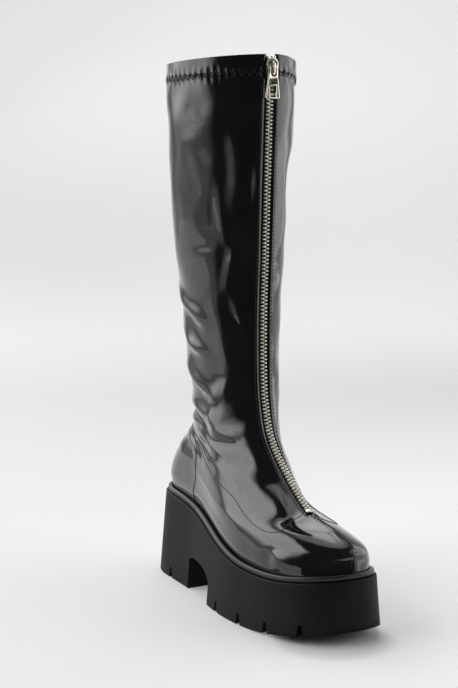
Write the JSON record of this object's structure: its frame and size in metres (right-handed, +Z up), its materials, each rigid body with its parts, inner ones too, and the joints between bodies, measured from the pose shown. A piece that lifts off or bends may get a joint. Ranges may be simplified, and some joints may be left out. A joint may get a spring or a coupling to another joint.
{
  "type": "chunky platform boot",
  "caption": "Right-foot knee-high patent boot with a front zip, hinged pull tab and a thick moulded platform sole with block heel, arch and lugs.",
  "frame": {"origin": "middle of the bottom of the boot's bounding box, on the floor", "axes": "+X from heel to toe, +Y to the wearer's left (inner side of this right boot), +Z up"},
  "size_m": [0.2832, 0.1078, 0.465],
  "materials": {
    "sole": "matte black moulded foam rubber",
    "welt": "satin black rounded bead",
    "insole": "black woven lining",
    "upper": "black patent, mirror gloss, softly creased",
    "zip_tape": "black woven tape",
    "zip_metal": "pale nickel"
  },
  "bodies": {
    "boot": {"sole_unit": "sole", "welt": "welt", "insole": "insole", "upper": "upper", "zip_tape_outer": "zip_tape", "zip_tape_inner": "zip_tape", "zip_chain": "zip_metal", "zip_slider": "zip_metal", "zip_stop_outer": "zip_metal", "zip_stop_inner": "zip_metal", "zip_stop_low": "zip_metal"},
    "pull": {"zip_pull": "zip_metal"}
  },
  "joints": [
    {"name": "pull_hinge", "type": "hinge", "parent": "boot", "child": "pull", "pos_m": [-0.00171, 0.00998, 0.45462], "axis": [0.0004, -0.9998, 0.0204], "range_deg": [0, 165]}
  ]
}
